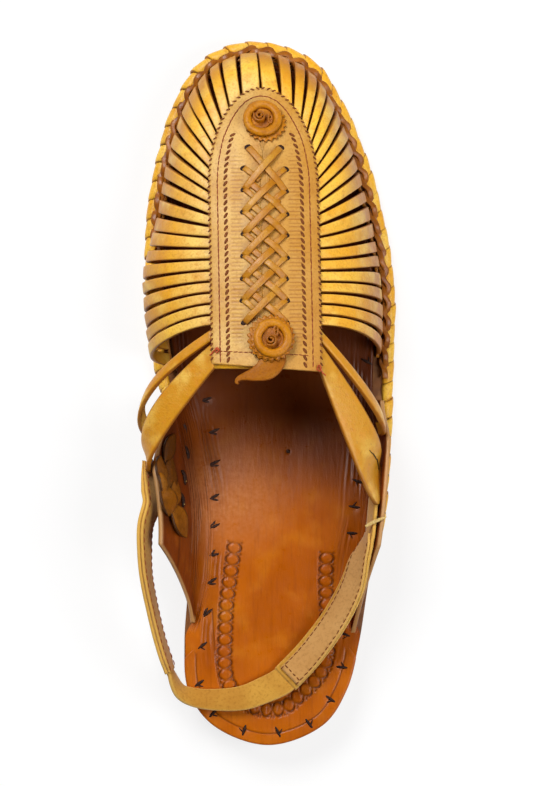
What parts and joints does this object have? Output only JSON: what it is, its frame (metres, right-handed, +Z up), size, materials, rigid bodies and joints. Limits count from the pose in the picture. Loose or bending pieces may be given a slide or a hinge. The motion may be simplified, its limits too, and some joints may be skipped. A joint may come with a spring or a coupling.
{
  "type": "kolhapuri sandal",
  "caption": "Closed-toe leather sandal for the right foot: fanned strip cage, braided panel with rosettes, plaited edge, low heel and a slack slingback strap.",
  "frame": {"origin": "on the floor under the middle of the sandal's box", "axes": "+Y along the foot to the toe, +X to the outer side of the right foot, +Z up"},
  "size_m": [0.1038, 0.28, 0.0692],
  "materials": {
    "sole_leather": "raw edge, burnished",
    "insole_leather": "smooth, waxed gloss",
    "strip_leather": "smooth grain, half gloss",
    "panel_leather": "smooth grain, half matt",
    "ribbon_leather": "dyed, glossy",
    "strap_leather": "napped, matt"
  },
  "bodies": {
    "root": {"outsole": "sole_leather", "heel": "sole_leather", "insole": "insole_leather", "upper": "strip_leather", "vamp_panel": "panel_leather", "braid": "strip_leather", "rosette_toe": "strip_leather", "rosette_throat": "strip_leather", "throat_tail": "strap_leather", "rim_ribbon": "ribbon_leather", "edge_plait": "strip_leather", "ear_medial": "insole_leather", "ear_lateral": "insole_leather", "strap_medial": "strap_leather", "strap_heel": "strap_leather", "strap_lateral": "strap_leather"}
  },
  "joints": []
}
